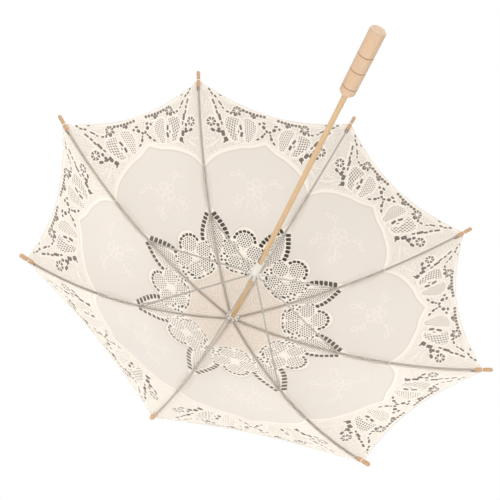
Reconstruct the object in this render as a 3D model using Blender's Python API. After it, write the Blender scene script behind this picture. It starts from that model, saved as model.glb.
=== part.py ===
"""Lace parasol with eight ribs, standing on its handle.

Metres, +Z up along the shaft. The origin is the centre of the handle's flat end.
It is modelled open. Each spoke (rib, tip, stretcher, rivet and its two half gores of cloth)
is built in the plane of its rib and turned to its azimuth by an empty on the shaft's axis.
"""

from math import asin, atan2, cos, pi, radians, sin, tan

import bmesh
import bpy
from mathutils import Matrix, Vector

# driving dimensions
SPOKES = 8
HALF_SECTOR = pi / SPOKES
CROWN_Z = 0.607  # height of the rib pivots above the handle's end
TIP_RADIUS = 0.385  # the canopy's corner, measured to the end of a wooden tip
TIP_DROP = 0.2016  # how far the tips hang below the rib pivots
RIB_SAG = 0.030  # height of the rib's arc over its chord
PIVOT_RADIUS = 0.009  # the wire rings on which ribs and stretchers turn
JOINT_SHARE = 0.405  # where along the rib its stretcher is riveted

HANDLE_LENGTH = 0.1055
HANDLE_RADIUS = 0.0113
SHAFT_RADIUS = 0.0040
SHAFT_FOOT = 0.0760
SHAFT_TOP = 0.6380
GAP = 0.0003  # between pieces that touch
BORE_RADIUS = SHAFT_RADIUS + 0.0004

NOTCH_RADIUS = 0.0106  # crown notch and runner flange
NOTCH_HALF_HEIGHT = 0.0040
SLOT_WIDTH = 0.0034
SLOT_FLOOR = 0.0066
WIRE_RADIUS = 0.00045
WIRE_GROOVE = 0.0008

RIB_HALF = 0.0010  # half the rib's width and height
EYE_RADIUS = 0.0020
EYE_HOLE = 0.0008
LUG_DEPTH = 0.0020  # rivet centre below the rib's centre line
RIVET_RADIUS = 0.0006
RIVET_HEAD = 0.0012
RIVET_HOLE = 0.0009
FORK_HALF = 0.0023
FORK_CHEEK = 0.0007
FORK_LENGTH = 0.0090

TIP_LENGTH = 0.0270
TIP_GIRTH = 0.0033
TIP_WAIST = 0.0024
TIP_BORE = 0.0019
TIP_BORE_DEPTH = 0.0095

RUNNER_TUBE = 0.0060
RUNNER_ABOVE = 0.0065
RUNNER_BELOW = 0.0320

CLOTH_THICKNESS = 0.0012
CLOTH_LIFT = 0.0024  # cloth's middle above the rib's centre line
CLOTH_SADDLE = 0.0040  # how far a gore's middle hangs in
CLOTH_START = 0.018  # share of the rib where the cloth begins, outside the notch
CORNER_SHARE = 0.965
RIM_SHARE = 0.900
TIP_CLEARANCE = 0.0038

SPRING_Z = 0.4450
SPRING_LENGTH = 0.0300


def clear_scene():
    for obj in list(bpy.data.objects):
        bpy.data.objects.remove(obj, do_unlink=True)


def material(name, colour, roughness, metallic=0.0):
    found = bpy.data.materials.get(name)
    if found:
        return found
    made = bpy.data.materials.new(name)
    made.use_nodes = True
    shader = made.node_tree.nodes["Principled BSDF"]
    shader.inputs["Base Color"].default_value = (*colour, 1.0)
    shader.inputs["Roughness"].default_value = roughness
    shader.inputs["Metallic"].default_value = metallic
    return made


def wood(name):
    return material(f"{name}_wood", (0.80, 0.60, 0.42), 0.45)


def steel(name):
    return material(f"{name}_steel", (0.55, 0.55, 0.54), 0.35, 1.0)


def paint(name):
    return material(f"{name}_paint", (0.86, 0.85, 0.82), 0.40)


def plastic(name):
    return material(f"{name}_plastic", (0.88, 0.86, 0.80), 0.35)


def lace(name):
    return material(f"{name}_cotton", (0.93, 0.88, 0.80), 0.85)


def finish(name, bm, look, parent=None, smooth=True):
    """Turns a bmesh into a named object with its faces pointing out."""
    bmesh.ops.recalc_face_normals(bm, faces=bm.faces)
    mesh = bpy.data.meshes.new(name)
    bm.to_mesh(mesh)
    bm.free()
    if smooth:
        mesh.shade_smooth()
        mesh.set_sharp_from_angle(angle=radians(35))
    obj = bpy.data.objects.new(name, mesh)
    bpy.context.scene.collection.objects.link(obj)
    obj.data.materials.append(look(name))
    obj.parent = parent
    return obj


def turned(profile, sides, matrix=Matrix.Identity(4)):
    """Closed loop of (radius, height) points turned about Z; points on the axis become poles."""
    bm = bmesh.new()
    rings = []
    for radius, height in profile:
        count = sides if radius > 1e-7 else 1
        ring = []
        for i in range(count):
            turn = 2 * pi * i / sides
            ring.append(bm.verts.new(matrix @ Vector((radius * cos(turn), radius * sin(turn), height))))
        rings.append(ring)
    for a, b in zip(rings, rings[1:] + rings[:1]):
        if len(a) == 1 and len(b) == 1:
            continue
        for i in range(sides):
            j = (i + 1) % sides
            corners = [a[i % len(a)], a[j % len(a)], b[j % len(b)], b[i % len(b)]]
            bm.faces.new(list(dict.fromkeys(corners)))
    return bm


def circle(x, z, radius, count, first=0.0, last=2 * pi):
    """Points around part of a circle, the last one left out on a full turn."""
    full = abs(last - first - 2 * pi) < 1e-9
    steps = count if full else count - 1
    return [
        (x + radius * cos(first + (last - first) * i / steps), z + radius * sin(first + (last - first) * i / steps))
        for i in range(count)
    ]


def plate(outline, holes, half_width):
    """A flat piece cut from sheet: an outline with holes in the XZ plane, thick along Y."""
    bm = bmesh.new()
    edges = []
    for loop in [outline] + holes:
        verts = [bm.verts.new((x, -half_width, z)) for x, z in loop]
        for a, b in zip(verts, verts[1:] + verts[:1]):
            edges.append(bm.edges.new((a, b)))
    bmesh.ops.triangle_fill(bm, edges=edges, use_beauty=True, use_dissolve=False)
    grown = bmesh.ops.extrude_face_region(bm, geom=bm.faces[:])
    moved = [g for g in grown["geom"] if isinstance(g, bmesh.types.BMVert)]
    bmesh.ops.translate(bm, verts=moved, vec=(0, 2 * half_width, 0))
    return bm


def cut(obj, name, bm):
    """Cuts a guide shape out of obj."""
    cutter = finish(name, bm, steel, smooth=False)
    cutter.hide_render = True
    cutter.display_type = "WIRE"
    cutter.parent = obj.parent
    modifier = obj.modifiers.new(name, "BOOLEAN")
    modifier.operation = "DIFFERENCE"
    modifier.solver = "EXACT"
    modifier.object = cutter


def box(bm, low, high, matrix=Matrix.Identity(4)):
    centre = (Vector(low) + Vector(high)) / 2
    size = Vector(high) - Vector(low)
    where = matrix @ Matrix.Translation(centre) @ Matrix.Diagonal((*size, 1.0))
    bmesh.ops.create_cube(bm, size=1.0, matrix=where)


# the rib's arc, in its own plane: x outward from the shaft's axis, z up
PIVOT = Vector((PIVOT_RADIUS, CROWN_Z))
TIP = Vector((TIP_RADIUS, CROWN_Z - TIP_DROP))
CHORD = TIP - PIVOT
CHORD_LENGTH = CHORD.length
ARC_RADIUS = (CHORD_LENGTH**2 / 4 + RIB_SAG**2) / (2 * RIB_SAG)
ARC_HALF = asin(CHORD_LENGTH / 2 / ARC_RADIUS)
CHORD_SLOPE = atan2(-CHORD.y, CHORD.x)
ARC_LENGTH = 2 * ARC_RADIUS * ARC_HALF


def rib_slope(share):
    """How steeply the rib falls, in radians, at a share of its length from the pivot."""
    return CHORD_SLOPE + ARC_HALF * (2 * share - 1)


def rib_point(share, lift=0.0):
    """A point on the rib's arc, lifted along the arc's normal."""
    middle = CHORD_SLOPE
    centre = (PIVOT + TIP) / 2 - (ARC_RADIUS - RIB_SAG) * Vector((sin(middle), cos(middle)))
    slope = rib_slope(share)
    return centre + (ARC_RADIUS + lift) * Vector((sin(slope), cos(slope)))


JOINT = rib_point(JOINT_SHARE, -LUG_DEPTH)
STRETCHER_LENGTH = (JOINT - PIVOT).length
RUNNER_Z = JOINT.y - (CROWN_Z - JOINT.y)  # stretcher and inner rib are the legs of a kite


def spoke_frame(index):
    """An empty on the shaft's axis that turns a spoke to its azimuth."""
    frame = bpy.data.objects.new(f"spoke_{index}", None)
    bpy.context.scene.collection.objects.link(frame)
    frame.rotation_euler.z = pi - 2 * HALF_SECTOR * (index - 1)
    return frame


def handle():
    r = HANDLE_RADIUS
    top = HANDLE_LENGTH
    profile = [(0.0, 0.0), (r - 0.0018, 0.0), (r - 0.0005, 0.0006), (r, 0.0020)]
    for share in (0.36, 0.60):
        z = share * HANDLE_LENGTH
        profile += [(r, z - 0.0009), (r - 0.0007, z), (r, z + 0.0009)]
    z = 0.86 * HANDLE_LENGTH
    profile += [(r, z - 0.0009), (r - 0.0007, z), (r - 0.0001, z + 0.0009)]
    profile += [(r - 0.0002, top - 0.0045), (r - 0.0030, top - 0.0008), (r - 0.0042, top)]
    profile += [(BORE_RADIUS, top), (BORE_RADIUS, SHAFT_FOOT - GAP), (0.0, SHAFT_FOOT - GAP)]
    finish("handle", turned(profile, 28), wood)


def shaft():
    r = SHAFT_RADIUS
    profile = [(0.0, SHAFT_FOOT), (r - 0.0004, SHAFT_FOOT), (r, SHAFT_FOOT + 0.0004)]
    profile += [(r, SHAFT_TOP - 0.0004), (r - 0.0004, SHAFT_TOP), (0.0, SHAFT_TOP)]
    obj = finish("shaft", turned(profile, 24), wood)
    groove = bmesh.new()
    low = SPRING_Z - SPRING_LENGTH / 2 - 0.002
    box(groove, (-0.0009, 0.0, low), (0.0009, 0.006, low + SPRING_LENGTH + 0.004))
    cut(obj, "spring_groove", groove)


def notched(name, profile, centre_z):
    """A turned ring with a slot for each spoke."""
    obj = finish(name, turned(profile, 32), plastic)
    slots = bmesh.new()
    reach = NOTCH_RADIUS + 0.002
    tall = NOTCH_HALF_HEIGHT + 0.004
    for i in range(SPOKES):
        turn = Matrix.Rotation(2 * HALF_SECTOR * i, 4, "Z")
        low = (SLOT_FLOOR, -SLOT_WIDTH / 2, centre_z - tall)
        high = (reach, SLOT_WIDTH / 2, centre_z + tall)
        box(slots, low, high, turn)
    cut(obj, f"{name}_slots", slots)


def grooved_rim(centre_z):
    """Profile of a notch's outer side, with the wire's groove, from top to bottom."""
    floor = PIVOT_RADIUS - WIRE_GROOVE
    r = NOTCH_RADIUS
    h = NOTCH_HALF_HEIGHT
    return [
        (r - 0.0008, centre_z + h),
        (r, centre_z + h - 0.0008),
        (r, centre_z + WIRE_GROOVE),
        (floor, centre_z + WIRE_GROOVE),
        (floor, centre_z - WIRE_GROOVE),
        (r, centre_z - WIRE_GROOVE),
        (r, centre_z - h + 0.0008),
        (r - 0.0008, centre_z - h),
    ]


def wire_ring(name, centre_z):
    """The wire that holds the eyes in a notch's slots."""
    section = circle(PIVOT_RADIUS, centre_z, WIRE_RADIUS, 6)
    finish(name, turned(section, 32), steel)


def crown():
    inner = BORE_RADIUS
    profile = [(inner, CROWN_Z + NOTCH_HALF_HEIGHT)] + grooved_rim(CROWN_Z)
    profile += [(inner, CROWN_Z - NOTCH_HALF_HEIGHT)]
    notched("crown_notch", profile, CROWN_Z)
    wire_ring("crown_wire", CROWN_Z)
    z = CROWN_Z + NOTCH_HALF_HEIGHT + GAP
    patch = [(BORE_RADIUS, z), (0.0125, z), (0.0125, z + 0.0010), (BORE_RADIUS, z + 0.0010)]
    finish("crown_patch", turned(patch, 24), lace)
    z += 0.0010 + GAP
    cap = [(BORE_RADIUS, z), (0.0130, z), (0.0134, z + 0.0008), (0.0115, z + 0.0030), (0.0075, z + 0.0045)]
    cap += [(BORE_RADIUS, z + 0.0045)]
    finish("crown_cap", turned(cap, 24), wood)
    z += 0.0045 + GAP
    spike = [(BORE_RADIUS, z), (0.0068, z), (0.0070, z + 0.0020), (0.0058, z + 0.0040), (0.0056, z + 0.0070)]
    spike += [(0.0062, z + 0.0090), (0.0050, z + 0.0380), (0.0044, z + 0.0415), (0.0028, z + 0.0438)]
    spike += [(0.0, z + 0.0442), (0.0, SHAFT_TOP + GAP), (BORE_RADIUS, SHAFT_TOP + GAP)]
    finish("ferrule", turned(spike, 20), wood)


def runner():
    inner = BORE_RADIUS
    tube = RUNNER_TUBE
    z = RUNNER_Z
    foot = z - RUNNER_BELOW
    profile = [(inner, z + RUNNER_ABOVE), (tube - 0.0006, z + RUNNER_ABOVE), (tube, z + RUNNER_ABOVE - 0.0006)]
    profile += [(tube, z + NOTCH_HALF_HEIGHT)] + grooved_rim(z) + [(tube, z - NOTCH_HALF_HEIGHT)]
    profile += [(tube, foot + 0.0050), (tube + 0.0006, foot + 0.0040), (tube + 0.0006, foot + 0.0006)]
    profile += [(tube, foot), (inner, foot)]
    notched("runner", profile, z)
    wire_ring("runner_wire", z)


def catch_spring():
    """A sprung wire in the shaft's groove, whose hump stands out below the open runner."""
    half = 0.0006
    z = SPRING_Z
    length = SPRING_LENGTH
    out = SHAFT_RADIUS + 0.0024
    back = [(0.0006, z - length / 2), (0.0006, z + length / 2)]
    front = [(0.0016, z + length / 2), (0.0020, z + length * 0.46), (out, z + length * 0.36)]
    front += [(out, z + length * 0.30), (0.0020, z - length * 0.30), (0.0016, z - length / 2)]
    bm = plate(back + front, [], half)
    bmesh.ops.rotate(bm, verts=bm.verts, matrix=Matrix.Rotation(pi / 2, 3, "Z"))
    finish("catch_spring", bm, steel, smooth=False)


def rib(index, frame):
    """A bar bent to the arc, with an eye on the crown's wire and a lug for the stretcher."""
    steps = 12
    end_share = 1 - (TIP_LENGTH - TIP_BORE_DEPTH + 0.0006) / ARC_LENGTH
    shares = [end_share * i / steps for i in range(1, steps + 1)]
    top = [rib_point(s, RIB_HALF) for s in shares]
    lug = [JOINT_SHARE + d / ARC_LENGTH for d in (-0.006, -0.0032, -0.0015, 0.0, 0.0015, 0.0032, 0.006)]
    shares = sorted([s for s in shares if abs(s - JOINT_SHARE) * ARC_LENGTH > 0.007] + lug)
    under = []
    for s in shares:
        away = min(1.0, abs(s - JOINT_SHARE) * ARC_LENGTH / 0.006)
        depth = RIB_HALF + (LUG_DEPTH + 0.0004) * 0.5 * (1 + cos(pi * away))
        under.append(rib_point(s, -depth))
    slope = rib_slope(0.0)
    eye = circle(PIVOT.x, PIVOT.y, EYE_RADIUS, 9, radians(48) - slope, radians(312) - slope)
    outline = [tuple(p) for p in reversed(top)] + eye + [tuple(p) for p in under]
    holes = [circle(PIVOT.x, PIVOT.y, EYE_HOLE, 8), circle(JOINT.x, JOINT.y, RIVET_HOLE, 8)]
    return finish(f"rib_{index}", plate(outline, holes, RIB_HALF), paint, frame)


def rib_tip(index, frame):
    """A turned wooden tip on the rib's end, with a waist where the cloth's corner is tied."""
    r = TIP_GIRTH
    length = TIP_LENGTH
    waist = ARC_LENGTH * (1 - CORNER_SHARE)
    profile = [(0.0, 0.0), (r * 0.62, 0.0004), (r * 0.93, 0.0018), (r, 0.0038), (r * 0.94, waist - 0.0018)]
    profile += [(TIP_WAIST, waist - 0.0008), (TIP_WAIST, waist + 0.0008), (r * 0.94, waist + 0.0018)]
    profile += [(r, waist + 0.0050), (r * 0.90, length - 0.0010), (r * 0.80, length), (TIP_BORE, length)]
    profile += [(TIP_BORE, length - TIP_BORE_DEPTH), (0.0, length - TIP_BORE_DEPTH)]
    slope = rib_slope(1 - 0.5 * length / ARC_LENGTH)
    end = rib_point(1.0)
    inward = Matrix.Rotation(-(pi / 2 - slope), 4, "Y")
    place = Matrix.Translation((end.x, 0.0, end.y)) @ inward
    return finish(f"rib_tip_{index}", turned(profile, 12, place), wood, frame)


def rivet(index, frame):
    """The rivet through a stretcher's fork and its rib's lug."""
    head = FORK_HALF + GAP
    edge = head + 0.0005
    half = [(RIVET_RADIUS, head), (RIVET_HEAD, head), (RIVET_HEAD * 0.8, edge), (0.0, edge)]
    profile = [(r, -z) for r, z in reversed(half)] + half
    across = Matrix.Translation((JOINT.x, 0.0, JOINT.y)) @ Matrix.Rotation(pi / 2, 4, "X")
    return finish(f"rib_rivet_{index}", turned(profile, 8, across), steel, frame)


def stretcher(index, frame):
    """A strut from the rib's lug, where it is forked, to an eye on the runner's wire."""
    length = STRETCHER_LENGTH
    bar = RIB_HALF
    inner = FORK_HALF - FORK_CHEEK
    plan = [(-EYE_RADIUS, inner), (-EYE_RADIUS, FORK_HALF), (FORK_LENGTH, FORK_HALF)]
    plan += [(FORK_LENGTH + 0.0020, bar), (length - 0.004, bar), (length + EYE_RADIUS, bar)]
    mirrored = [(x, -y) for x, y in reversed(plan)]
    inside = [(FORK_LENGTH - 0.0015, -inner), (FORK_LENGTH - 0.0015, inner)]
    bm = plate(plan + mirrored + inside, [], bar)
    bmesh.ops.rotate(bm, verts=bm.verts, matrix=Matrix.Rotation(pi / 2, 3, "X"))
    obj = finish(f"stretcher_{index}", bm, steel, frame)
    aim = Vector((PIVOT_RADIUS, RUNNER_Z)) - JOINT
    obj.location = (JOINT.x, 0.0, JOINT.y)
    obj.rotation_euler.y = -atan2(aim.y, aim.x)
    holes = bmesh.new()
    for x, radius in ((0.0, RIVET_HOLE), (length, EYE_HOLE)):
        across = Matrix.Translation((x, 0, 0)) @ Matrix.Rotation(pi / 2, 4, "X")
        bmesh.ops.create_cone(
            holes, cap_ends=True, segments=8, radius1=radius, radius2=radius, depth=0.01, matrix=across
        )
    cut(obj, f"stretcher_{index}_holes", holes)
    cutter = bpy.data.objects[f"stretcher_{index}_holes"]
    cutter.location = obj.location
    cutter.rotation_euler = obj.rotation_euler
    return obj


def rim_share(across):
    """How far out the cloth reaches, from the corner (0) to the gore's middle (1)."""
    return RIM_SHARE + (CORNER_SHARE - RIM_SHARE) * (1 - across) ** 2


def cloth_point(share, across, side, lift):
    """A point of the half gore beside a rib: across runs from the rib to the gore's middle."""
    at_rib = rib_point(share, CLOTH_LIFT)
    normal = Vector((sin(CHORD_SLOPE), cos(CHORD_SLOPE)))
    sag = CLOTH_SADDLE * 4 * share * (1 - share)
    seam_x = at_rib.x * cos(HALF_SECTOR) ** 2 + (lift - sag) * normal.x
    seam_y = seam_x * tan(HALF_SECTOR) - GAP / cos(HALF_SECTOR)
    near_tip = min(1.0, max(0.0, (share - 0.915) / 0.012))
    rib_gap = GAP + (TIP_CLEARANCE - GAP) * near_tip
    rise = lift - sag * across * (2 - across)
    x = at_rib.x + (seam_x - at_rib.x - rise * normal.x) * across + rise * normal.x
    y = rib_gap + (seam_y - rib_gap) * across
    return Vector((x, side * y, at_rib.y + rise * normal.y))


def half_gore(index, side, frame):
    """Half a gore of cloth, from its rib to the middle of the gore, with a hollow rim."""
    rows = 10
    columns = 3
    bm = bmesh.new()
    grids = []
    for lift in (-CLOTH_THICKNESS / 2, CLOTH_THICKNESS / 2):
        grid = []
        for i in range(rows + 1):
            line = []
            for j in range(columns + 1):
                across = j / columns
                share = CLOTH_START + (rim_share(across) - CLOTH_START) * i / rows
                line.append(bm.verts.new(cloth_point(share, across, side, lift)))
            grid.append(line)
        grids.append(grid)
    low, high = grids
    for grid in grids:
        for i in range(rows):
            for j in range(columns):
                bm.faces.new((grid[i][j], grid[i][j + 1], grid[i + 1][j + 1], grid[i + 1][j]))
    border = [(i, 0) for i in range(rows)] + [(rows, j) for j in range(columns)]
    border += [(i, columns) for i in range(rows, 0, -1)] + [(0, j) for j in range(columns, 0, -1)]
    for (i, j), (k, m) in zip(border, border[1:] + border[:1]):
        bm.faces.new((low[i][j], low[k][m], high[k][m], high[i][j]))
    word = "left" if side > 0 else "right"
    return finish(f"canopy_{index}_{word}", bm, lace, frame)


def build():
    clear_scene()
    handle()
    shaft()
    crown()
    runner()
    catch_spring()
    for index in range(1, SPOKES + 1):
        frame = spoke_frame(index)
        rib(index, frame)
        rib_tip(index, frame)
        rivet(index, frame)
        stretcher(index, frame)
        half_gore(index, 1, frame)
        half_gore(index, -1, frame)


build()
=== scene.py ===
"""Looks of the lace parasol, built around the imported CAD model.

Metres, +Z up along the shaft, origin at the handle's flat end. The canopy's lace is drawn once, in
millimetres, on half a flat gore: x runs across from the gore's middle to its rib, y runs out from
the crown. The openings are cut out of a fine grid, and the sheet is then bent onto each half gore.
"""

from math import asin, atan2, cos, pi, radians, sin, sqrt, tan

import bmesh
import bpy
import numpy as np
from mathutils import Matrix, Vector


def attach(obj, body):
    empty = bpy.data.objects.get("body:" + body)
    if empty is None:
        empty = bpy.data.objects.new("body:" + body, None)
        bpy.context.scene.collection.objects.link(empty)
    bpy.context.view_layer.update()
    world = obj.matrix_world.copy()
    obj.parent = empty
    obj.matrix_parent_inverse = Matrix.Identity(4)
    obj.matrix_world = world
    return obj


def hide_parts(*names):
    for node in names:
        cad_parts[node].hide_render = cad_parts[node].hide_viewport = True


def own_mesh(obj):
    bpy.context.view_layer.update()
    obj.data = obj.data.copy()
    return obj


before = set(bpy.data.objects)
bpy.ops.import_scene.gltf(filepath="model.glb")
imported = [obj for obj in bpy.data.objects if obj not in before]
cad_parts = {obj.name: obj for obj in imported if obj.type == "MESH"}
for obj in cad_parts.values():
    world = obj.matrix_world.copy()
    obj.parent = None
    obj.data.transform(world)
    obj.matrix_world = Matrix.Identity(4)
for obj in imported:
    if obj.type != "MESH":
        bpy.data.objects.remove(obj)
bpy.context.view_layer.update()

# sizes shared with the CAD model, in metres
SPOKES = 8
HALF_SECTOR = pi / SPOKES
CROWN_Z = 0.607
TIP_RADIUS = 0.385
TIP_DROP = 0.2016
RIB_SAG = 0.030
PIVOT_RADIUS = 0.009
HANDLE_LENGTH = 0.1055
CLOTH_LIFT = 0.0024  # from the rib's centre line to the cloth
CLOTH_SADDLE = 0.0040  # how far a gore's middle sags between its ribs
CORNER_SHARE = 0.965  # of the rib's arc, where the hem meets the rib
RIM_SHARE = 0.900  # and where it is at a gore's middle

# the cloth, in metres
CLOTH_THICKNESS = 0.0005
THREAD_RADIUS = 0.00035
TIE_STEPS = 29
WRAP_REACH = (0.0021, 0.0029)  # radius of the thread wraps at the neck and at the tip
WRAP_TURNS = 4
WRAP_SHARE = 0.0022  # of the rib's arc that a wrap covers

# the drawing, in millimetres
GRID_CELL = 1.0
GRID_REACH = (150, 422)  # across and out
PATTERN_SPAN = 500  # as one unit of the texture coordinates
CLOTH_INNER = 4.0  # from the rib pivots to the cloth's inner edge
OPENING_GROWTH = 0.3  # that the border's openings stretch under tension
BORDER_START = 262
MUSLIN_START = 140
LEAF_SPAN = (94, 183)
NECK_SPAN = (184, 268)  # where the cloth is gathered to the rib by threads
STAR_END = 88
HEM_WIDTH = 8
TAPE_WIDTH = 8.5
RIB_MARGIN = 5
TIP_START_SHARE = 0.915  # of the rib's arc, where the cloth begins to clear the wooden tip
TIP_CLEARANCE = 3.6
WEAVE_PITCH = 5.0
FAR = 1e9  # a distance beyond any other
CLEAR = 9  # one that is clear of any thread

# the view and its surroundings
CAMERA_AT = Vector((0.8250, 0.6944, -0.6395))
CAMERA_DIRECTION = Vector((-0.54888, -0.44225, 0.70933))
CAMERA_UP = Vector((-0.77208, -0.05701, -0.63297))
CAMERA_LENS = 70.67
SENSOR_WIDTH = 36
FLOOR_Z = -0.80
FLOOR_SIZE = 90
FLOOR_FADE = (0.1, 3.0)  # from here to there the floor turns as white as the surroundings
# painted shade behind the canopy, seen through the lace's openings, at its middle and at its rim
PAINTED_SHADE_CENTRE = (0.062, 0.050, 0.040)
PAINTED_SHADE_RIM = (0.270, 0.232, 0.197)
PAINTED_SHADE_ABOVE = 0.2  # upward part of a direction, below which no painted shade is put behind the canopy
RIM_HEIGHT = 0.4176  # of the hem at a rib, and how much higher it is at a gore's middle
RIM_RISE = 0.0188
RIM_CORNER = 0.3720  # radius of the hem's inner side at a rib and at a gore's middle
RIM_MIDDLE = 0.3245
# name, place, size and power, all aimed at the parasol's middle
LIGHTS = (
    ("key", (1.2, 1.6, -0.5), 1.2, 22),
    ("fill", (-1.0, -1.3, -0.5), 1.4, 26),
    ("top", (1.8, -1.2, 2.4), 0.8, 9),
)
LIGHT_AIM = Vector((0, 0, 0.5))

WHITE = (1.0, 1.0, 1.0)
BLACK = (0.0, 0.0, 0.0)
CREAM = (0.950, 0.885, 0.800)
MUSLIN = (0.805, 0.745, 0.682)
PEACH = (0.840, 0.730, 0.630)
# painted shade: the brown that creases, gathers and the sides of tapes and cords are darkened
# towards
PAINTED_SHADE_BROWN = (0.50, 0.42, 0.34)
MOTTLE_BROWN = (0.70, 0.62, 0.52)
WOOD_PALE = (0.740, 0.530, 0.370)
WOOD_SHAFT = (0.720, 0.510, 0.290)
WOOD_DARK = (0.520, 0.330, 0.165)
TIP_PALE = (0.70, 0.45, 0.27)
TIP_DARK = (0.42, 0.24, 0.12)
LONG_GRAIN = (1.0, 1.0, 0.06)
TIP_GRAIN = (1.0, 1.0, 0.35)
# painted shade for the handle's turned grooves
GROOVE_SHADE = (0.330, 0.190, 0.085)
GROOVE_HALF = 0.0008
HANDLE_GROOVES = (0.36, 0.60, 0.86)  # shares of the handle's length

# ---------------------------------------------------------------- the rib's arc

CHORD = Vector((TIP_RADIUS - PIVOT_RADIUS, -TIP_DROP))
ARC_RADIUS = (CHORD.length**2 / 4 + RIB_SAG**2) / (2 * RIB_SAG)
ARC_HALF = asin(CHORD.length / 2 / ARC_RADIUS)
CHORD_SLOPE = atan2(-CHORD.y, CHORD.x)
ARC_LENGTH = 2 * ARC_RADIUS * ARC_HALF
ARC_CENTRE_X = PIVOT_RADIUS + CHORD.x / 2 - (ARC_RADIUS - RIB_SAG) * sin(CHORD_SLOPE)
ARC_CENTRE_Z = CROWN_Z + CHORD.y / 2 - (ARC_RADIUS - RIB_SAG) * cos(CHORD_SLOPE)


def rib_arc(share, lift=0.0):
    """Radius, height and slope of the rib's arc; share may be an array."""
    slope = CHORD_SLOPE + ARC_HALF * (2 * share - 1)
    reach = ARC_RADIUS + lift
    return ARC_CENTRE_X + reach * np.sin(slope), ARC_CENTRE_Z + reach * np.cos(slope), slope


def rib_azimuth(index):
    """Direction of a rib, counted from 1, round the shaft."""
    return pi - 2 * HALF_SECTOR * (index - 1)


def rib_line(y):
    """Where the rib lies, in mm from the gore's middle, y mm out from the pivots."""
    radius, _, _ = rib_arc(np.asarray(y) / 1000 / ARC_LENGTH, CLOTH_LIFT)
    return radius * 1000 * sin(HALF_SECTOR)


def cloth_surface(x, y, side, lift):
    """Half-gore drawing (mm) to points in the plane of a rib at azimuth 0 (m)."""
    share = y / 1000 / ARC_LENGTH
    radius, height, _ = rib_arc(share, CLOTH_LIFT)
    normal_x, normal_z = sin(CHORD_SLOPE), cos(CHORD_SLOPE)
    across = np.clip(1 - x / (radius * 1000 * sin(HALF_SECTOR)), 0, 1)
    sag = CLOTH_SADDLE * 4 * share * (1 - share)
    rise = lift - sag * across * (2 - across)
    seam_x = radius * cos(HALF_SECTOR) ** 2 - sag * normal_x
    px = radius + (seam_x - radius + sag * normal_x) * across + rise * normal_x
    py = seam_x * tan(HALF_SECTOR) * across
    return np.stack([px, side * py, height + rise * normal_z], axis=-1)


# ---------------------------------------------------------------- drawing the lace


def smooth_curve(points, steps=8):
    """Points on a Catmull-Rom curve through given points."""
    p = np.array([points[0]] + list(points) + [points[-1]], float)
    out = []
    for i in range(1, len(p) - 2):
        a, b, c, d = p[i - 1], p[i], p[i + 1], p[i + 2]
        square, cube = 2 * a - 5 * b + 4 * c - d, 3 * b - a - 3 * c + d
        for t in np.arange(steps) / steps:
            out.append(0.5 * (2 * b + (c - a) * t + square * t**2 + cube * t**3))
    out.append(p[-2])
    return np.array(out)


def to_line(q, line):
    """Distance from points q to a polyline."""
    best = np.full(len(q), FAR)
    for a, b in zip(line[:-1], line[1:]):
        ab = b - a
        t = np.clip(((q - a) @ ab) / max(ab @ ab, 1e-12), 0, 1)
        best = np.minimum(best, np.hypot(*(q - a - t[:, None] * ab).T))
    return best


def in_polygon(q, polygon):
    """Signed distance to a polygon, positive inside."""
    inside = np.zeros(len(q), bool)
    closed = np.vstack([polygon, polygon[:1]])
    for a, b in zip(closed[:-1], closed[1:]):
        if a[1] == b[1]:
            continue
        crosses = (a[1] > q[:, 1]) != (b[1] > q[:, 1])
        inside ^= crosses & (q[:, 0] < (b[0] - a[0]) * (q[:, 1] - a[1]) / (b[1] - a[1]) + a[0])
    return np.where(inside, 1, -1) * to_line(q, closed)


def slot_hole(q, x, y, length, width, degrees):
    """Signed distance to a rounded slot, positive inside."""
    turn = radians(degrees)
    dx, dy = q[:, 0] - x, q[:, 1] - y
    along = np.abs(dx * cos(turn) + dy * sin(turn))
    aside = np.abs(-dx * sin(turn) + dy * cos(turn))
    corner = 0.32 * min(length, width)
    a = along - length / 2 + corner
    b = aside - width / 2 + corner
    outside = np.hypot(np.maximum(a, 0), np.maximum(b, 0))
    return -(outside + np.minimum(np.maximum(a, b), 0) - corner)


def ladder(curve, count, bar, width, taper=1.0):
    """Openings along a curve with thread bars between them: (x, y, length, width, degrees)."""
    steps = np.hypot(*np.diff(curve, axis=0).T)
    along = np.concatenate([[0], np.cumsum(steps)])
    pitch = along[-1] / count
    holes = []
    for i in range(count):
        at = (i + 0.5) * pitch
        x, y = (np.interp(at, along, curve[:, k]) for k in (0, 1))
        x2, y2 = (np.interp(at + 0.5, along, curve[:, k]) for k in (0, 1))
        x1, y1 = (np.interp(at - 0.5, along, curve[:, k]) for k in (0, 1))
        size = width * (1 + (taper - 1) * i / max(1, count - 1))
        holes.append((x, y, pitch - bar, size, np.degrees(atan2(y2 - y1, x2 - x1))))
    return holes


def wheel_hole(q, x, y, inner, outer, spokes, bar, first):
    """Signed distance to the openings of a wheel: a ring crossed by threads, positive inside."""
    dx, dy = q[:, 0] - x, q[:, 1] - y
    away = np.hypot(dx, dy)
    turn = (np.arctan2(dy, dx) - first) / (2 * pi / spokes)
    to_spoke = away * np.abs(np.sin((turn - np.round(turn)) * 2 * pi / spokes))
    return np.minimum(np.minimum(outer - away, away - inner), to_spoke - bar / 2)


def circle(x, y, radius):
    """A ring as a polyline."""
    turns = np.linspace(0, 2 * pi, 25)
    return np.stack([x + radius * np.cos(turns), y + radius * np.sin(turns)], axis=1)


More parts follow.
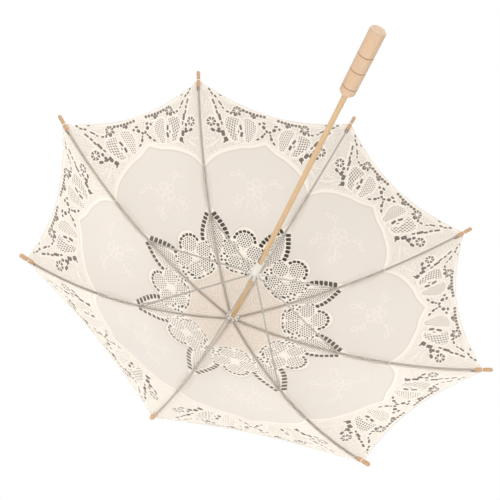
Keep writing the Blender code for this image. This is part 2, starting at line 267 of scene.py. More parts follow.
def net_holes(q, pitch, radius, degrees=0.0, stretch=1.0):
    """Signed distance outside the round holes of a net, its rows a little uneven."""
    x, y = q[:, 0], q[:, 1]
    turn = radians(degrees)
    u = (x * cos(turn) + y * sin(turn)) / stretch + 0.35 * np.sin(y / 7.3 + x / 11.0)
    v = -x * sin(turn) + y * cos(turn) + 0.35 * np.sin(x / 6.1 - y / 9.0)
    row = pitch * sqrt(3)
    nearest = np.full(len(q), FAR)
    for shift in (0.0, 0.5):
        du = np.abs((u / pitch + shift + 0.5) % 1 - 0.5) * pitch
        dv = np.abs((v / row + shift + 0.5) % 1 - 0.5) * row
        nearest = np.minimum(nearest, np.hypot(du, dv))
    return nearest - radius * (1 + 0.14 * np.sin(1.7 * x + 0.9 * y) * np.sin(1.1 * x - 1.3 * y))


# outlines and cords of the half gore
MUSLIN_EDGE_OUT = smooth_curve([
    (0, 333), (12, 326), (24, 320), (40, 315), (58, 306), (72, 297), (83, 286), (91, 273),
    (95.5, 260),
])
MUSLIN_EDGE_IN = smooth_curve([
    (95.5, 260), (90, 246), (83, 225), (76, 208), (67, 194), (56, 183), (45, 173), (37, 162),
    (32, 151), (27, 146),
])
MUSLIN_EDGE_FLOWER = smooth_curve([(27, 146), (23, 153), (19, 162), (12, 170), (0, 174)])
LEAF_OUTER = smooth_curve([
    (65.2, 185.5), (61, 181.8), (55, 176.5), (46.5, 168.5), (39, 160), (33, 150.5), (29.5, 141),
])
LEAF_INNER_Y = (92, 104, 118, 130, 140, 150, 160, 170, 178)
LEAF_INNER_X = (35, 38, 36, 34.5, 36, 40.5, 47.5, 56, 67)
SHADE_OUTLINE = smooth_curve([
    (22, 346), (20, 358), (26, 369), (38, 375), (49, 370), (45, 356), (41, 342), (36, 330),
    (27, 331), (22, 346),
])
SHELL_OUTLINE = smooth_curve([
    (54, 369), (68, 370), (80, 366), (80, 352), (70, 338), (62, 327), (50, 325), (50, 334),
    (56, 347), (54, 369),
])
HEM_LADDER = smooth_curve([(10, 384.5), (26, 383.5), (42, 384), (56, 386)])
# x, y, inner and outer radius, spokes, thread width, first spoke's angle
WHEELS = [(64, 382.0, 1.0, 8.2, 8, 1.1, 0.2), (103.4, 350.4, 1.0, 8.6, 7, 1.4, 0.5)]
# pitch, hole radius, turn in degrees and stretch of each net
FLOWER_NET = (4.7, 1.56)
LEAF_NET = (4.0, 1.36, 52)
SHADE_NET = (4.0, 1.3, 20)
SHELL_NET = (3.4, 1.2, 48, 2.1)
GROUND_NET = (2.9, 0.84, 10)
# painted shade lines of the gathers beside the rib: distance, sway and length of a wave
PAINTED_GATHER_SHADE = ((2.6, 0.7, 7.0), (5.4, 1.2, 11.0), (8.6, 1.6, 13.0))
# x, y and radius
PETALS = [(0, 146.5, 13.5), (21, 126, 14), (-21, 126, 14), (12.5, 100.5, 14), (-12.5, 100.5, 14)]
FLOWER_HEART = (0, 122, 6.5)
HEART_REACH = 19
# raised cords of the lace and of the muslin's embroidery, with their widths
CORDS = [
    (smooth_curve([(0, 168.5), (11, 165.5), (19, 158), (23.5, 147)]), 2.2),
    (np.array([(a, b) for a, b in zip(LEAF_INNER_X, LEAF_INNER_Y)], float), 2.2),
    (SHADE_OUTLINE, 2.2),
    (SHELL_OUTLINE, 2.2),
    (smooth_curve([(114, 390), (104, 372), (94, 354), (84, 342), (76, 330)]), 2.2),
    (smooth_curve([(114, 340), (112, 356), (104, 362), (94, 358)]), 2.0),
    (smooth_curve([(118, 392), (104, 396), (86, 402)]), 2.2),
    (smooth_curve([(0, 380), (14, 378), (22, 374), (30, 372)]), 2.0),
    (smooth_curve([(0, 346), (4, 340), (14, 336), (28, 330), (44, 325)]), 2.0),
    (smooth_curve([(104, 300), (98, 306), (90, 312), (84, 322)]), 1.8),
    (smooth_curve([(108, 320), (100, 318), (92, 322)]), 1.6),
    (smooth_curve([(0, 79), (12, 79.5), (24, 84), (36, 90)]), 2.4),
    (smooth_curve([(0, 73), (9, 67), (14, 56), (9, 45), (0, 39)]), 2.0),
    (smooth_curve([(0, 64), (5, 60), (6.5, 52), (0, 45)]), 1.6),
    (smooth_curve([(26, 82), (21, 68), (17, 54), (9, 32)]), 1.8),
    (smooth_curve([(16, 78), (20, 70), (25, 66)]), 1.6),
    (smooth_curve([(0, 34), (6, 26), (5, 16)]), 1.6),
]
ROSE = [
    (circle(0, 248, 4.0), 1.8),
    (smooth_curve([(0, 253), (6, 256), (7.5, 262), (3, 266), (0, 263)]), 2.2),
    (smooth_curve([(5, 250), (11, 257), (17, 256), (17, 249), (11, 246), (5, 248)]), 2.2),
    (smooth_curve([(3, 244), (11, 243), (13, 237), (8, 232), (2, 236), (0, 243)]), 2.2),
    (smooth_curve([(14, 254), (22, 262), (31, 267), (43, 268)]), 1.6),
    (smooth_curve([(24, 263), (27, 271), (35, 275), (33, 268), (24, 263)]), 2.0),
    (smooth_curve([(34, 267), (41, 262), (50, 263), (43, 268), (34, 267)]), 2.0),
    (smooth_curve([(10, 236), (16, 226), (22, 218), (32, 213)]), 1.6),
    (smooth_curve([(16, 226), (25, 229), (31, 225), (24, 220), (16, 226)]), 2.0),
    (smooth_curve([(22, 217), (20, 209), (26, 203), (28, 211), (22, 217)]), 2.0),
    (smooth_curve([(0, 235), (4, 225), (9, 216), (8, 206)]), 1.6),
]


def openings():
    """Every single opening of the half gore: x, y, length, width, degrees."""
    holes = ladder(LEAF_OUTER, 7, 1.5, 9.4, 0.85)
    holes += [(34.5, 136.5, 5, 3.4, 110)]
    for degrees in (79, 56, 33, 10):
        turn = radians(degrees)
        holes.append((19.2 * cos(turn), 145 + 19.2 * sin(turn), 5.2, 6.4, degrees))
    holes += [(31, 112.5, 5, 3.6, 20), (25.5, 108.5, 4.5, 3.8, 60), (35.3, 106.5, 4.5, 3.4, 80)]
    holes += [(27, 100.8, 5, 3.6, 30), (33.5, 100, 4, 4.2, 70), (23, 94, 7.5, 4.2, 35)]
    holes += [(34, 92.5, 4.5, 3.6, 110)]
    holes += [(13.5, 83.2, 7, 3.2, 12), (5.6, 83.0, 5, 3.0, 0), (21.5, 86.6, 6, 3.0, 25)]
    # outer border: ladder under the hem and the wheel beside it
    holes += ladder(HEM_LADDER, 7, 1.8, 4.6)
    holes += [(31, 378.2, 6, 4.4, -20), (36.5, 379.5, 3, 3, 0)]
    holes += [(65, 374.0, 5.5, 4.6, 0), (57.5, 376.8, 4.4, 3.4, 40), (73, 375, 3.4, 5.5, 25)]
    holes += [(79.8, 375.8, 5.5, 3, 10)]
    # the cross at the gore's middle
    holes += [(3.0, 359.2, 5.2, 4, 45), (9.8, 365, 6.8, 5.6, 40), (11.2, 372.6, 6.2, 3.4, 10)]
    holes += [(18.4, 369.4, 4.4, 4, 20), (5.6, 353.6, 3, 4.4, 25), (8.6, 347.8, 6.0, 4.6, -52)]
    holes += [(15.2, 340.6, 6.0, 3.2, -36)]
    # the shell's eye
    holes += [(50.2, 354.0, 9.4, 3.8, 64), (45.6, 341.6, 9, 4.4, 84), (52.2, 345.6, 5, 1.7, 70)]
    # slanting slits from the corner
    holes += [(108.2, 387, 9.5, 3.0, 53), (101.8, 378.2, 6.5, 3.2, 55), (97.6, 370.2, 6.6, 3.2, 58)]
    holes += [(90.8, 362.4, 12.0, 4.4, 62), (84.6, 352.6, 6.4, 2.8, 60), (96.0, 387.4, 10, 2.6, 37)]
    # the wheel by the rib and its tail
    holes += [(90.4, 347.6, 6.0, 4.8, 70), (97.2, 336.4, 8, 4.8, 15)]
    holes += [(86.4, 338.6, 9.5, 5.2, 72), (78.2, 335.2, 10.5, 6.2, 66)]
    holes += [(70.6, 325.6, 8.6, 7.2, 50), (90.2, 336.2, 2.6, 2.8, 0), (72.6, 319.6, 2.4, 3.4, 0)]
    # small openings along the hem and in the corner
    holes += [(127, 412.6, 6, 2.6, 45), (120.8, 406.8, 5.4, 3.2, 42), (114.6, 400.6, 6.5, 2.4, 40)]
    holes += [(107.4, 397, 5.4, 3.0, 30), (99.6, 401.4, 5.4, 2.4, 20), (89.4, 380.6, 5, 2.2, 40)]
    return holes


def flower_cells(q):
    """How deep inside the flower's netted cells, and how far from the threads between them."""
    gaps = np.stack([np.hypot(q[:, 0] - x, q[:, 1] - y) - r for x, y, r in PETALS + [FLOWER_HEART]])
    order = np.sort(gaps, axis=0)
    from_heart = gaps[-1] + FLOWER_HEART[2]
    # the petals' nets reach further out round the plain heart than at the flower's rim
    reach = np.where(from_heart < HEART_REACH, 4.5, 1.8)
    depth = np.minimum(reach - gaps[:-1].min(axis=0), from_heart - FLOWER_HEART[2])
    thread = np.where(gaps[-1] > order[0], (order[1] - order[0]) / 2, CLEAR)
    return depth, thread


def draw(q):
    """Depth inside the cloth at points of the half gore, and the distances the looks use."""
    x, y = q[:, 0], q[:, 1]
    rib = rib_line(y)
    rim = 1000 * ARC_LENGTH * (RIM_SHARE + (CORNER_SHARE - RIM_SHARE) * (x / rib) ** 2)
    to_rim, to_rib = rim - y, rib - x
    edge = np.vstack([MUSLIN_EDGE_OUT, MUSLIN_EDGE_IN, MUSLIN_EDGE_FLOWER])
    muslin = in_polygon(q, np.vstack([edge, [(-20, 174), (-20, 333)]]))
    holes = np.full(len(q), FAR)
    for hole in openings():
        reach = max(hole[2], hole[3]) + 3
        near = np.flatnonzero((np.abs(x - hole[0]) < reach) & (np.abs(y - hole[1]) < reach))
        growth = OPENING_GROWTH if hole[1] > BORDER_START else 0.0
        holes[near] = np.minimum(holes[near], -slot_hole(q[near], *hole) - growth)
    for x0, y0, *wheel in WHEELS:
        near = np.flatnonzero(np.hypot(x - x0, y - y0) < 14)
        holes[near] = np.minimum(holes[near], -wheel_hole(q[near], x0, y0, *wheel))
    cord = np.full(len(q), FAR)
    for line, width in CORDS:
        low, high = line.min(axis=0) - 4, line.max(axis=0) + 4
        near = np.flatnonzero((q > low).all(axis=1) & (q < high).all(axis=1))
        cord[near] = np.minimum(cord[near], to_line(q[near], line) - width / 2)
    # how deep each point lies inside the netted ground, clear of tapes, cords and openings
    clear = np.minimum(cord, holes - 1.0)
    petal, thread = flower_cells(q)
    flower = np.minimum(np.minimum(petal, thread - 0.45), holes - 0.9)
    leaf = np.minimum(x - np.interp(y, LEAF_INNER_Y, LEAF_INNER_X) - 1.3, to_rib - 1.8)
    leaf = np.minimum(leaf, np.minimum(y - LEAF_SPAN[0], LEAF_SPAN[1] - y))
    leaf = np.minimum(leaf, holes - 0.8)
    border = np.minimum(to_rim - HEM_WIDTH, to_rib - RIB_MARGIN)
    border = np.minimum(border, np.minimum(-muslin - TAPE_WIDTH, clear))
    border = np.where(y > BORDER_START, border, -1)
    shell, shade = in_polygon(q, SHELL_OUTLINE), in_polygon(q, SHADE_OUTLINE)
    # how deep a point lies inside each netted region, and the region's net
    nets = (
        (flower, FLOWER_NET),
        (leaf, LEAF_NET),
        (np.minimum(border, shade - 1), SHADE_NET),
        (np.minimum(border, shell - 1), SHELL_NET),
        (np.minimum(border, -1.0 - np.maximum(shade, shell)), GROUND_NET),
    )
    depth = np.minimum(np.minimum(to_rim, y - CLOTH_INNER), holes)
    for region, net in nets:
        depth = np.minimum(depth, np.where(region > 0.3, net_holes(q, *net), CLEAR))
    near_tip = np.clip((y / 1000 / ARC_LENGTH - TIP_START_SHARE) / 0.012, 0, 1)
    depth = np.minimum(depth, (to_rib - TIP_CLEARANCE * near_tip) * cos(HALF_SECTOR))
    cord = np.where((thread < 1.2) & (petal > -0.5), thread - 0.7, cord)
    return {"depth": depth, "rim": to_rim, "rib": to_rib, "muslin": muslin, "cord": cord}


def smooth_step(value, low, high):
    """0 at low, 1 at high, smooth between; low may be the larger."""
    t = np.clip((value - low) / (high - low), 0, 1)
    return t * t * (3 - 2 * t)


def sheet_of_lace():
    """Marching squares over the drawing: vertices (mm) and faces."""
    nx, ny = (int(reach / GRID_CELL) + 1 for reach in GRID_REACH)
    gx, gy = np.meshgrid(np.arange(nx) * GRID_CELL, np.arange(ny) * GRID_CELL, indexing="ij")
    q = np.stack([gx.ravel(), gy.ravel()], axis=1)
    solid = draw(q)["depth"].reshape(nx, ny)
    least = 1e-4  # keeps every cut off the grid's own points
    solid[np.abs(solid) < least] = least
    keep = solid > 0
    number = -np.ones((nx, ny), int)
    number[keep] = np.arange(keep.sum())
    points = [tuple(p) for p in q.reshape(nx, ny, 2)[keep]]
    cuts = {}

    def cut(a, b):
        """Number of the point where the edge from grid point a to b leaves the cloth."""
        key = (a, b) if a < b else (b, a)
        if key not in cuts:
            fa, fb = solid[key[0]], solid[key[1]]
            t = fa / (fa - fb)
            p = (1 - t) * np.array(key[0]) + t * np.array(key[1])
            cuts[key] = len(points)
            points.append((p[0] * GRID_CELL, p[1] * GRID_CELL))
        return cuts[key]

    full = keep[:-1, :-1] & keep[1:, :-1] & keep[1:, 1:] & keep[:-1, 1:]
    some = keep[:-1, :-1] | keep[1:, :-1] | keep[1:, 1:] | keep[:-1, 1:]
    i, j = np.nonzero(full)
    quads = (number[i, j], number[i + 1, j], number[i + 1, j + 1], number[i, j + 1])
    faces = [tuple(f) for f in np.stack(quads, axis=1).tolist()]
    for i, j in zip(*np.nonzero(some & ~full)):
        corners = [(i, j), (i + 1, j), (i + 1, j + 1), (i, j + 1)]
        loop = []
        for a, b in zip(corners, corners[1:] + corners[:1]):
            if keep[a]:
                loop.append(number[a])
            if keep[a] != keep[b]:
                loop.append(cut(a, b))
        loops = [loop]
        if len(loop) == 6 and keep[corners[0]] == keep[corners[2]]:
            # opposite corners: two separate triangles
            if keep[corners[0]]:
                loops = [[loop[5], loop[0], loop[1]], loop[2:5]]
            else:
                loops = [loop[0:3], loop[3:6]]
        faces += [tuple(int(n) for n in one) for one in loops if len(one) > 2]
    return np.array(points, float), faces


def band(distance, middle, width):
    """1 at a distance, falling off over the width."""
    return np.exp(-(((distance - middle) / width) ** 2))


def looks_of_lace(q):
    """Height in metres, and colour masks, painted shade among them, at the sheet's own vertices."""
    field = draw(q)
    x, y = q[:, 0], q[:, 1]
    muslin, rib, rim = field["muslin"], field["rib"], field["rim"]
    edge = np.abs(muslin)
    in_muslin = smooth_step(muslin, -0.3, 0.6)
    tape = smooth_step(7.5 - edge, 0, 1.2) * (1 - in_muslin) * (y > MUSLIN_START)
    hem = smooth_step(6.5 - rim, 0, 1.0)
    cord = np.sqrt(np.clip(-field["cord"], 0, 1))
    rose = np.zeros(len(q))
    near = np.flatnonzero((x < 60) & (np.abs(y - 245) < 50))
    for line, width in ROSE:
        stitch = 1 - (to_line(q[near], line) / (0.75 * width)) ** 2
        rose[near] = np.maximum(rose[near], np.sqrt(np.clip(stitch, 0, 1)))
    rose *= in_muslin
    # the tapes pucker a little
    pucker = tape * (0.5 + 0.5 * np.sin(np.hypot(x, y) / 2.3 + np.sin(x / 5) * 1.5))
    height = 0.30 * tape + 0.12 * pucker + 0.35 * hem - 0.15 * in_muslin + 0.35 * cord
    height = height + 0.30 * rose
    # painted shade, darkening the colour beside the tapes, the hem and the rib, in the gathers and
    # beside the cords
    gathered = smooth_step(y, NECK_SPAN[0], 200) * smooth_step(y, 272, 250)
    painted_fold_shade = [
        0.6 * band(rib - away, reach * np.sin(y / period + away), 0.7) * gathered
        for away, reach, period in PAINTED_GATHER_SHADE
    ]
    painted_shade = np.maximum.reduce([
        band(muslin, 0, 0.8) * (y > MUSLIN_START),
        0.55 * band(edge, 7.6, 0.8) * (muslin < 0) * (y > 190),
        0.45 * band(rim, 6.8, 0.8),
        0.65 * smooth_step(rim, 1.6, 0.4),
        0.22 * band(rib, 3.4, 0.7) * smooth_step(y, 180, 200),
        *painted_fold_shade,
        np.where(y < STAR_END, 1.0, 0.35) * band(field["cord"], 0.7, 0.6),
    ])
    star = smooth_step(y, 86, 76) * (1 - cord)
    return height / 1000, {"muslin": in_muslin, "star": star, "painted_shade": painted_shade, "rose": rose}


# ---------------------------------------------------------------- materials


def new_material(name):
    """A material with its nodes, links and shader."""
    made = bpy.data.materials.new(name)
    made.use_nodes = True
    nodes = made.node_tree.nodes
    return made, nodes, made.node_tree.links, nodes["Principled BSDF"]


def node(nodes, kind, **values):
    """A new node with input values, or settings of its own, by name."""
    made = nodes.new(kind)
    for key, value in values.items():
        if key in made.inputs:
            made.inputs[key].default_value = value
        else:
            setattr(made, key, value)
    return made


def maths(nodes, links, operation, *values):
    """The result of an operation on sockets or fixed numbers."""
    made = nodes.new("ShaderNodeMath")
    made.operation = operation
    for socket, value in zip(made.inputs, values):
        if isinstance(value, (int, float)):
            socket.default_value = value
        else:
            links.new(value, socket)
    return made.outputs[0]


def mixed(nodes, links, share, first, second):
    """A colour between two others, each a socket or a fixed value."""
    made = nodes.new("ShaderNodeMix")
    made.data_type = "RGBA"
    for name, value in (("Factor_Float", share), ("A_Color", first), ("B_Color", second)):
        socket = next(s for s in made.inputs if s.identifier == name)
        if isinstance(value, bpy.types.NodeSocket):
            links.new(value, socket)
        elif isinstance(value, tuple):
            socket.default_value = (*value, 1.0)
        else:
            socket.default_value = value
    return next(s for s in made.outputs if s.identifier == "Result_Color")


def mask(nodes, name):
    """One of the sheet's own fields."""
    return node(nodes, "ShaderNodeAttribute", attribute_name=name).outputs["Fac"]


def relief(nodes, links, shader, height, strength, distance):
    """Fine bumps, finer than any shape."""
    bump = node(nodes, "ShaderNodeBump", Strength=strength, Distance=distance)
    links.new(height, bump.inputs["Height"])
    links.new(bump.outputs[0], shader.inputs["Normal"])


def lace_material():
    """Cotton in the colours of the masks, with painted shade, and a fine weave."""
    made, nodes, links, shader = new_material("cotton_lace")
    where = node(nodes, "ShaderNodeTexCoord").outputs["UV"]
    cloud = node(nodes, "ShaderNodeTexNoise", Scale=9.0, Detail=3.0)
    links.new(where, cloud.inputs["Vector"])
    colour = mixed(nodes, links, mask(nodes, "muslin"), CREAM, MUSLIN)
    colour = mixed(nodes, links, mask(nodes, "star"), colour, PEACH)
    rose = maths(nodes, links, "MULTIPLY", mask(nodes, "rose"), 0.45)
    colour = mixed(nodes, links, rose, colour, CREAM)
    # painted shade: the sheet's shade mask darkens the colour towards brown
    painted_shade = maths(nodes, links, "MULTIPLY", mask(nodes, "painted_shade"), 0.50)
    colour = mixed(nodes, links, painted_shade, colour, PAINTED_SHADE_BROWN)
    mottle = maths(nodes, links, "MULTIPLY", cloud.outputs["Fac"], 0.10)
    colour = mixed(nodes, links, mottle, colour, MOTTLE_BROWN)
    links.new(colour, shader.inputs["Base Color"])
    shader.inputs["Roughness"].default_value = 0.85
    shader.inputs["Sheen Weight"].default_value = 0.25
    shader.inputs["Sheen Roughness"].default_value = 0.5
    threads = []
    for way in ("X", "Y"):
        wave = node(nodes, "ShaderNodeTexWave", Distortion=0.6, bands_direction=way)
        wave.inputs["Scale"].default_value = PATTERN_SPAN / WEAVE_PITCH
        links.new(where, wave.inputs["Vector"])
        threads.append(wave.outputs["Fac"])
    relief(nodes, links, shader, maths(nodes, links, "MAXIMUM", *threads), 0.35, 0.0003)
    return made


def wood_material(name, pale, dark, stretch, grooves=()):
    """Turned wood: fine grain drawn out along an axis, and painted shade in the turned grooves."""
    made, nodes, links, shader = new_material(name)
    where = node(nodes, "ShaderNodeTexCoord").outputs["Object"]
    long_grain = node(nodes, "ShaderNodeMapping", Scale=stretch)
    links.new(where, long_grain.inputs["Vector"])
    grain = node(nodes, "ShaderNodeTexNoise", Scale=260.0, Detail=6.0, Roughness=0.6)
    grain.inputs["Distortion"].default_value = 0.8
    links.new(long_grain.outputs[0], grain.inputs["Vector"])
    figure = node(nodes, "ShaderNodeTexNoise", Scale=40.0, Detail=2.0)
    links.new(long_grain.outputs[0], figure.inputs["Vector"])
    share = maths(nodes, links, "POWER", grain.outputs["Fac"], 2.4)
    colour = mixed(nodes, links, share, pale, dark)
    cloudy = maths(nodes, links, "MULTIPLY", figure.outputs["Fac"], 0.30)
    colour = mixed(nodes, links, cloudy, colour, dark)
    split = nodes.new("ShaderNodeSeparateXYZ")
    links.new(where, split.inputs[0])
    # painted shade: each turned groove gets a dark band
    for groove in grooves:
        above = maths(nodes, links, "SUBTRACT", split.outputs["Z"], groove)
        away = maths(nodes, links, "ABSOLUTE", above)
        inside = maths(nodes, links, "LESS_THAN", away, GROOVE_HALF)
        groove_shade = maths(nodes, links, "MULTIPLY", inside, 0.75)
        colour = mixed(nodes, links, groove_shade, colour, GROOVE_SHADE)
    links.new(colour, shader.inputs["Base Color"])
    rough = maths(nodes, links, "MULTIPLY", grain.outputs["Fac"], 0.2)
    links.new(maths(nodes, links, "ADD", rough, 0.38), shader.inputs["Roughness"])
    relief(nodes, links, shader, grain.outputs["Fac"], 0.25, 0.0004)
    return made


def plain_material(name, colour, roughness, metallic=0.0, worn=None, worn_share=0.3, scale=220.0):
    """Metal, enamel or plastic with fine wear."""
    made, nodes, links, shader = new_material(name)
    where = node(nodes, "ShaderNodeTexCoord").outputs["Object"]
    noise = node(nodes, "ShaderNodeTexNoise", Scale=scale, Detail=4.0)
    links.new(where, noise.inputs["Vector"])
    share = maths(nodes, links, "MULTIPLY", noise.outputs["Fac"], worn_share)
    worn = worn or tuple(0.7 * c for c in colour)
    links.new(mixed(nodes, links, share, colour, worn), shader.inputs["Base Color"])
    rough = maths(nodes, links, "MULTIPLY_ADD", noise.outputs["Fac"], 0.2, roughness)
    links.new(rough, shader.inputs["Roughness"])
    shader.inputs["Metallic"].default_value = metallic
    relief(nodes, links, shader, noise.outputs["Fac"], 0.15, 0.0002)
    return made


# ---------------------------------------------------------------- pieces


def add_object(name, mesh, look, body):
    """A piece of the parasol that moves with a body."""
    obj = bpy.data.objects.new(name, mesh)
    bpy.context.scene.collection.objects.link(obj)
    mesh.materials.append(look)
    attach(obj, body)
    return obj


def thick_sheet(faces, count):
    """Faces of a closed sheet: two layers, and walls along its rim and its openings."""
    used = {edge: None for face in faces for edge in zip(face, face[1:] + face[:1])}
    walls = [(b, a, a + count, b + count) for a, b in used if (b, a) not in used]
    under = [tuple(n + count for n in reversed(face)) for face in faces]
    return faces + under + walls


def canopy(look):
    """The sixteen half gores of lace, from one drawing."""
    points, faces = sheet_of_lace()
    height, masks = looks_of_lace(points)
    x, y = points[:, 0], points[:, 1]
    count = len(points)
    solid = thick_sheet(faces, count)
    middle = x < 1e-6
    for index in range(1, SPOKES + 1):
        turn = np.array(Matrix.Rotation(rib_azimuth(index), 3, "Z"))
        body = f"rib_{index}"
        for side, word in ((1, "left"), (-1, "right")):
            # the height stands on the inner side, so the cords show from below
            over = cloth_surface(x, y, side, np.full(count, CLOTH_THICKNESS / 2))
            under = cloth_surface(x, y, side, -CLOTH_THICKNESS / 2 - height)
            mesh = bpy.data.meshes.new(f"lace_{index}_{word}")
            turned = solid if side < 0 else [tuple(reversed(f)) for f in solid]
            mesh.from_pydata((np.vstack([over, under]) @ turn.T).tolist(), [], turned)
            for key, values in masks.items():
                attribute = mesh.attributes.new(key, "FLOAT", "POINT")
                attribute.data.foreach_set("value", np.tile(values, 2).astype(np.float32))
            ends = np.empty(2 * len(mesh.edges), np.int32)
            mesh.edges.foreach_get("vertices", ends)
            sharp = np.tile(middle, 2)[ends.reshape(-1, 2)].all(axis=1)
            mesh.attributes.new("sharp_edge", "BOOLEAN", "EDGE").data.foreach_set("value", sharp)
            uv = mesh.uv_layers.new(name="UVMap")
            order = np.empty(len(mesh.loops), np.int32)
            mesh.loops.foreach_get("vertex_index", order)
            order %= count
            across, out = x[order] / PATTERN_SPAN, y[order] / PATTERN_SPAN
            flat = np.stack([0.5 + side * across, out], axis=1)
            uv.data.foreach_set("uv", flat.astype(np.float32).ravel())
            obj = add_object(mesh.name, mesh, look, body)
            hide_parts(f"canopy_{index}_{word}")
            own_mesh(obj)


def spun_thread(name, path, look, body):
    """A thread through points, as a tube of six sides."""
    bm = bmesh.new()
    rings = []
    for i, at in enumerate(path):
        way = (path[min(i + 1, len(path) - 1)] - path[max(i - 1, 0)]).normalized()
        # the first side turns with the path and doesn't twist
        first = way.orthogonal() if i == 0 else first - way * first.dot(way)
        first.normalize()
        second = way.cross(first)
        turns = [k * pi / 3 for k in range(6)]
        sides = [THREAD_RADIUS * (first * cos(t) + second * sin(t)) for t in turns]
        rings.append([bm.verts.new(at + side) for side in sides])
    for low, high in zip(rings[:-1], rings[1:]):
        for k in range(6):
            bm.faces.new((low[k], low[(k + 1) % 6], high[(k + 1) % 6], high[k]))
    bm.faces.new(list(reversed(rings[0])))
    bm.faces.new(rings[-1])
    mesh = bpy.data.meshes.new(name)
    bm.to_mesh(mesh)
    bm.free()
    mesh.shade_smooth()
    add_object(name, mesh, look, body)


def beside_rib(share, up, aside):
    """A point up from the rib's arc and aside from its plane, on a rib at azimuth 0."""
    radius, height, slope = rib_arc(share)
    return Vector((radius + up * sin(slope), aside, height + up * cos(slope)))


def stitching(look):
    """Threads that tie the canopy to each rib: two along the gathered neck, and wraps at the
    neck's end and at the tip."""
    wraps = zip((NECK_SPAN[1] / 1000 / ARC_LENGTH, CORNER_SHARE), WRAP_REACH)
    wraps = [(f"{WRAP_TURNS}_{int(1000 * place)}", place, reach) for place, reach in wraps]
    wrap_steps = WRAP_TURNS * 12
    for index in range(1, SPOKES + 1):
        turn = Matrix.Rotation(rib_azimuth(index), 3, "Z")
        for side in (1, -1):
            path = []
            for step in range(TIE_STEPS + 1):
                y = NECK_SPAN[0] + (NECK_SPAN[1] - NECK_SPAN[0]) * step / TIE_STEPS
                swell = sin(pi * step / TIE_STEPS)
                away = side * (0.0022 + 0.0014 * sin(step * 0.7 + index) * swell)
                path.append(turn @ beside_rib(y / 1000 / ARC_LENGTH, -0.0006 * swell, away))
            spun_thread(f"tie_{index}_{side}", path, look, f"rib_{index}")
        for word, place, reach in wraps:
            path = []
            for step in range(wrap_steps + 1):
                share = place + WRAP_SHARE * (step / wrap_steps - 0.5)
                angle = 2 * pi * step / 12
                path.append(turn @ beside_rib(share, reach * sin(angle), reach * cos(angle)))
            spun_thread(f"wrap_{index}_{word}", path, look, f"rib_{index}")


def stage(white):
    """A pale floor that fades into the white surroundings with distance from the parasol."""
    nodes, links = white.node_tree.nodes, white.node_tree.links
    place = nodes.new("ShaderNodeSeparateXYZ")
    links.new(node(nodes, "ShaderNodeTexCoord").outputs["Object"], place.inputs[0])
    squares = [maths(nodes, links, "MULTIPLY", place.outputs[i], place.outputs[i]) for i in (0, 1)]
    away = maths(nodes, links, "SQRT", maths(nodes, links, "ADD", *squares))
    fade = nodes.new("ShaderNodeMapRange")
    fade.interpolation_type = "SMOOTHSTEP"
    fade.inputs["From Min"].default_value, fade.inputs["From Max"].default_value = FLOOR_FADE
    links.new(away, fade.inputs[0])
    seen = node(nodes, "ShaderNodeLightPath").outputs["Is Camera Ray"]
    blend = nodes.new("ShaderNodeMixShader")
    links.new(maths(nodes, links, "MULTIPLY", fade.outputs[0], seen), blend.inputs[0])
    links.new(nodes["Principled BSDF"].outputs[0], blend.inputs[1])
    links.new(nodes.new("ShaderNodeEmission").outputs[0], blend.inputs[2])
    links.new(blend.outputs[0], nodes["Material Output"].inputs["Surface"])
    bpy.ops.mesh.primitive_plane_add(size=FLOOR_SIZE, location=(0, 0, FLOOR_Z))
    floor = bpy.context.object
    floor.name = "floor"
    floor.data.materials.append(white)


def world_look():
    """White surroundings, a little weaker as light from overhead. Behind the canopy, seen from
    below, the surroundings are
    painted as dark shade: its outline is the canopy's own, a little inside the hem, so the painted
    shade shows only through the openings of the lace. It has a fixed place and gives no light."""
    world = bpy.data.worlds.new("surroundings")
    bpy.context.scene.world = world
    world.use_nodes = True
    nodes, links = world.node_tree.nodes, world.node_tree.links
    background = nodes["Background"]

    def calc(operation, *values):
        return maths(nodes, links, operation, *values)

    split = nodes.new("ShaderNodeSeparateXYZ")
    links.new(node(nodes, "ShaderNodeTexCoord").outputs["Generated"], split.inputs[0])
    steep = calc("MAXIMUM", split.outputs["Z"], 0.05)
    height = RIM_HEIGHT
    for _ in range(3):
        # meet the rim at the height it has in that direction
        reach = calc("DIVIDE", calc("SUBTRACT", height, CAMERA_AT.z), steep)
        px = calc("MULTIPLY_ADD", split.outputs["X"], reach, CAMERA_AT.x)
        py = calc("MULTIPLY_ADD", split.outputs["Y"], reach, CAMERA_AT.y)
        sector = calc("PINGPONG", calc("ARCTAN2", py, px), HALF_SECTOR)
        away = calc("SUBTRACT", 1.0, calc("DIVIDE", sector, HALF_SECTOR))
        dip = calc("SUBTRACT", 1.0, calc("MULTIPLY", away, away))
        height = calc("MULTIPLY_ADD", dip, RIM_RISE, RIM_HEIGHT)
    radius = calc("SQRT", calc("ADD", calc("MULTIPLY", px, px), calc("MULTIPLY", py, py)))
    limit = calc("MULTIPLY_ADD", dip, RIM_MIDDLE - RIM_CORNER, RIM_CORNER)
    upward = calc("GREATER_THAN", split.outputs["Z"], PAINTED_SHADE_ABOVE)
    behind = calc("MULTIPLY", calc("LESS_THAN", radius, limit), upward)
    seen = node(nodes, "ShaderNodeLightPath").outputs["Is Camera Ray"]
    zenith = nodes.new("ShaderNodeMapRange")
    for key, value in (("From Min", 0.3), ("From Max", 0.9), ("To Min", 1.0), ("To Max", 0.50)):
        zenith.inputs[key].default_value = value
    links.new(split.outputs["Z"], zenith.inputs[0])
    lit = mixed(nodes, links, zenith.outputs[0], BLACK, WHITE)
    lit = mixed(nodes, links, seen, lit, WHITE)
    # painted shade, darker towards the canopy's middle, seen only by camera rays
    outward = calc("MINIMUM", calc("DIVIDE", radius, RIM_MIDDLE), 1.0)
    dim = mixed(nodes, links, outward, PAINTED_SHADE_CENTRE, PAINTED_SHADE_RIM)
    colour = mixed(nodes, links, calc("MULTIPLY", behind, seen), lit, dim)
    links.new(colour, background.inputs["Color"])
    background.inputs["Strength"].default_value = 1.0


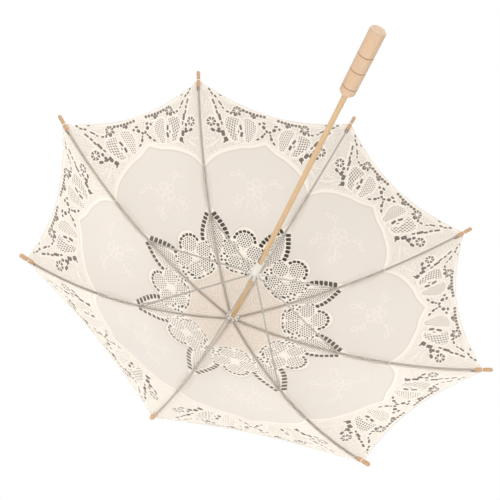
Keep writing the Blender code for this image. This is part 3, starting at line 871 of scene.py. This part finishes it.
def lights():
    """Soft studio lights, two of them low, for the underside."""
    for name, place, size, power in LIGHTS:
        data = bpy.data.lights.new(name, "AREA")
        data.size = size
        data.energy = power
        obj = bpy.data.objects.new(name, data)
        bpy.context.scene.collection.objects.link(obj)
        obj.location = place
        obj.rotation_euler = (LIGHT_AIM - Vector(place)).to_track_quat("-Z", "Y").to_euler()


def camera():
    """Looks up into the open parasol from below."""
    data = bpy.data.cameras.new("camera")
    data.lens = CAMERA_LENS
    data.sensor_width = SENSOR_WIDTH
    obj = bpy.data.objects.new("camera", data)
    bpy.context.scene.collection.objects.link(obj)
    back = -CAMERA_DIRECTION.normalized()
    right = CAMERA_UP.cross(back).normalized()
    up = back.cross(right)
    obj.matrix_world = Matrix((
        (right.x, up.x, back.x, CAMERA_AT.x),
        (right.y, up.y, back.y, CAMERA_AT.y),
        (right.z, up.z, back.z, CAMERA_AT.z),
        (0, 0, 0, 1),
    ))
    bpy.context.scene.camera = obj


def dress_cad(looks):
    """Gives the CAD pieces that stay in view their finishes."""
    for name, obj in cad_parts.items():
        if name in ("handle", "shaft"):
            look = looks[name + "_wood"]
        elif name in ("ferrule", "crown_cap") or name.startswith("rib_tip"):
            look = looks["tip_wood"]
        elif name in ("runner", "crown_notch"):
            look = looks["plastic"]
        elif name in ("crown_wire", "runner_wire", "catch_spring") or name.startswith("rib_rivet"):
            look = looks["steel"]
        elif name.startswith("stretcher"):
            look = looks["stretcher"]
        elif name.startswith("rib_"):
            look = looks["enamel"]
        elif name == "crown_patch":
            look = looks["cotton"]
        else:
            continue
        obj.data.materials.clear()
        obj.data.materials.append(look)


grooves = [share * HANDLE_LENGTH for share in HANDLE_GROOVES]
looks = {
    "shaft_wood": wood_material("shaft_wood", WOOD_SHAFT, WOOD_DARK, LONG_GRAIN),
    "handle_wood": wood_material("handle_wood", WOOD_PALE, WOOD_DARK, LONG_GRAIN, grooves),
    "tip_wood": wood_material("tip_wood", TIP_PALE, TIP_DARK, TIP_GRAIN),
    "plastic": plain_material("off_white_plastic", (0.84, 0.82, 0.76), 0.30),
    "steel": plain_material("steel_wire", (0.50, 0.49, 0.47), 0.30, 1.0),
    "enamel": plain_material(
        "rib_enamel", (0.54, 0.49, 0.43), 0.40, 0.25, (0.24, 0.20, 0.16), 0.4
    ),
    "stretcher": plain_material(
        "stretcher_enamel", (0.55, 0.52, 0.47), 0.40, 0.3, (0.24, 0.21, 0.18), 0.4
    ),
    "cotton": plain_material("plain_cotton", CREAM, 0.85),
    "lace": lace_material(),
    "floor": plain_material("pale_floor", (0.92, 0.92, 0.92), 0.60, worn_share=0.02, scale=4.0),
}
bpy.context.scene.view_settings.view_transform = "Standard"
camera()
world_look()
stage(looks["floor"])
lights()
dress_cad(looks)
canopy(looks["lace"])
stitching(looks["cotton"])
